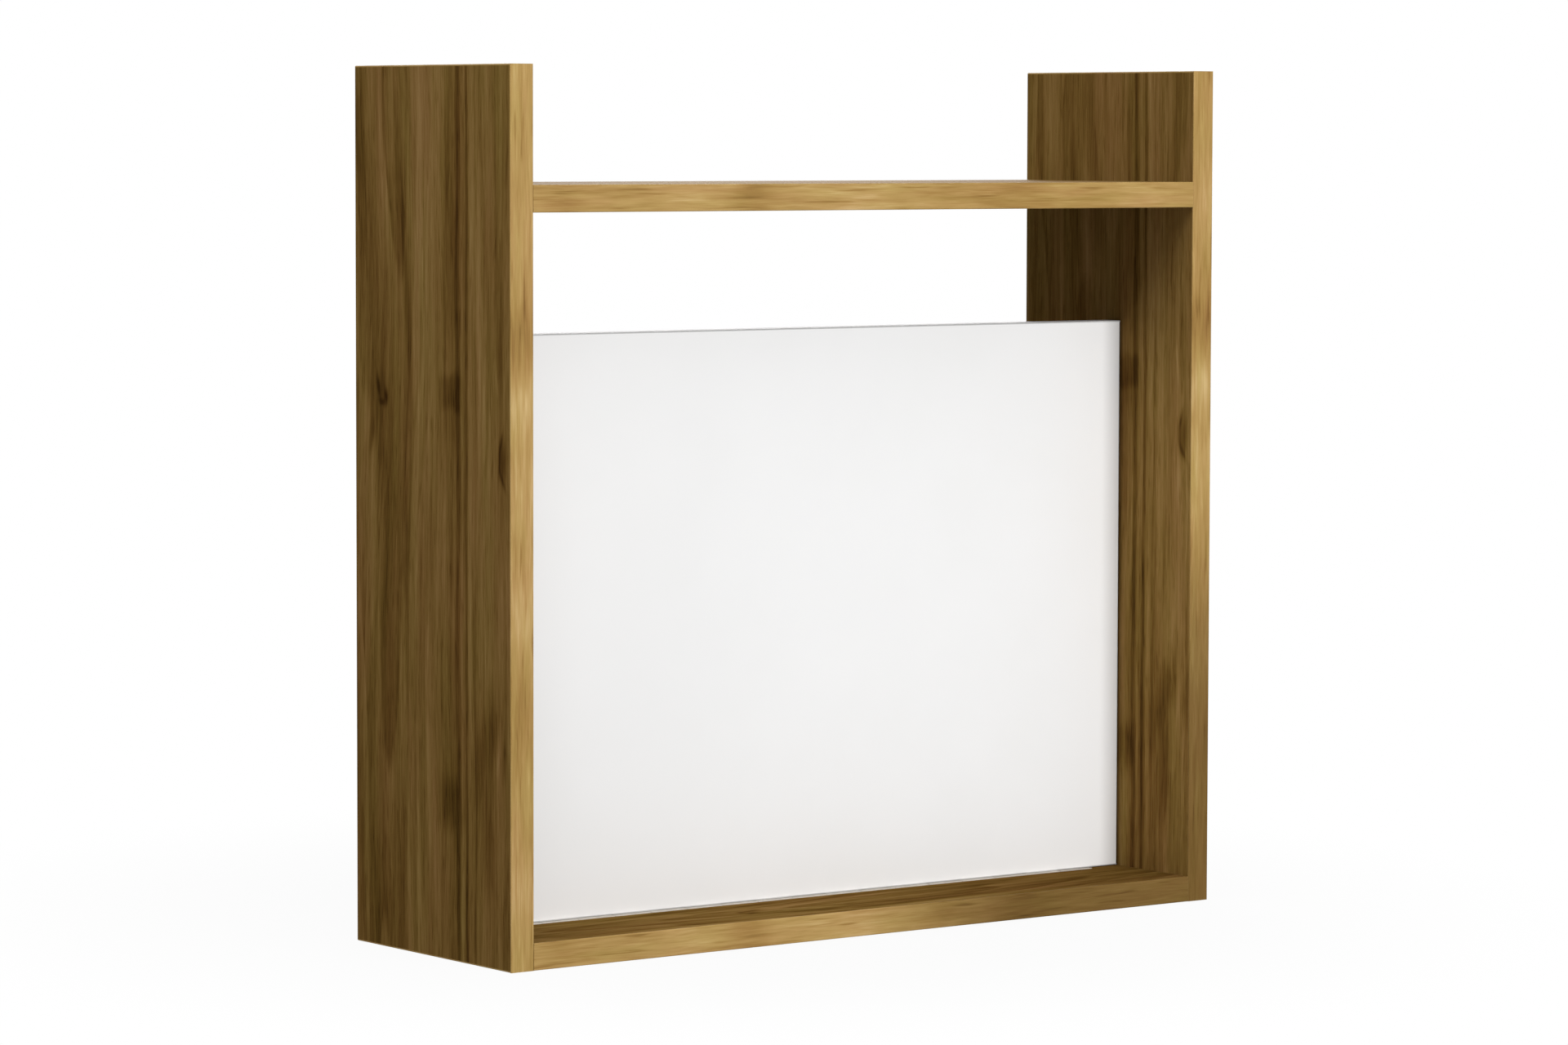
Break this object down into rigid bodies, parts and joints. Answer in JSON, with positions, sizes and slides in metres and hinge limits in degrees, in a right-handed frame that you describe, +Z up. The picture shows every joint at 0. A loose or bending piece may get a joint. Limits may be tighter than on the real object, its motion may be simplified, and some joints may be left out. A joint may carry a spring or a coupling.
{
  "type": "wall-mounted desk",
  "caption": "Shallow wall-hung frame of wood-tone boards with a shelf, holding an upright white flap that hinges at its foot and folds forward as a desk top.",
  "frame": {"origin": "middle of the four wall-screw holes, on the plane of the wall", "axes": "+X to the right seen from the front, +Y into the wall, +Z up; the front faces -Y"},
  "size_m": [0.6, 0.185, 0.59],
  "materials": {
    "wood_board": "particle board faced with a satin walnut-tone wood print, grain upright on the sides",
    "wood_edging": "satin edging strip in a lighter, golden tone of the same wood print, grain along its length",
    "white_board": "particle board faced with satin white laminate, with a faint linen emboss",
    "white_edging": "satin white edging strip",
    "cast_zinc": "die-cast zinc, dull",
    "zinc_plated_steel": "bright zinc plate",
    "beech": "bare beech",
    "nickel_plated_steel": "satin nickel plate",
    "brown_plastic": "fine moulded grain",
    "ferrite": "bare sintered ferrite"
  },
  "bodies": {
    "frame": {"shelf_board": "wood_board", "bottom_board": "wood_board", "wall_rail": "wood_board", "left_side_board": "wood_board", "right_side_board": "wood_board", "shelf_front_edging": "wood_edging", "bottom_front_edging": "wood_edging", "wall_rail_top_edging": "wood_edging", "wall_rail_bottom_edging": "wood_edging", "left_side_front_edging": "wood_edging", "left_side_top_edging": "wood_edging", "left_side_bottom_edging": "wood_edging", "right_side_front_edging": "wood_edging", "right_side_top_edging": "wood_edging", "right_side_bottom_edging": "wood_edging", "shelf_cams": "cast_zinc", "bottom_cams": "cast_zinc", "rail_cams": "cast_zinc", "left_cam_bolts": "zinc_plated_steel", "right_cam_bolts": "zinc_plated_steel", "hinge_board_screws": "zinc_plated_steel", "left_catch_screws": "zinc_plated_steel", "right_catch_screws": "zinc_plated_steel", "left_dowels": "beech", "right_dowels": "beech", "hinge_board_leaf": "nickel_plated_steel", "hinge_pin": "nickel_plated_steel", "left_catch_pole_plates": "nickel_plated_steel", "right_catch_pole_plates": "nickel_plated_steel", "left_catch_housing": "brown_plastic", "right_catch_housing": "brown_plastic", "left_catch_magnet": "ferrite", "right_catch_magnet": "ferrite"},
    "flap": {"flap_board": "white_board", "flap_top_edging": "white_edging", "flap_bottom_edging": "white_edging", "flap_left_edging": "white_edging", "flap_right_edging": "white_edging", "hinge_flap_leaf": "nickel_plated_steel", "hinge_flap_screws": "zinc_plated_steel", "left_strike_screw": "zinc_plated_steel", "right_strike_screw": "zinc_plated_steel", "left_strike_plate": "nickel_plated_steel", "right_strike_plate": "nickel_plated_steel"}
  },
  "joints": [
    {"name": "flap_hinge", "type": "hinge", "parent": "frame", "child": "flap", "pos_m": [0, -0.10995, -0.32375], "axis": [1, 0, 0], "range_deg": [0, 90]}
  ]
}
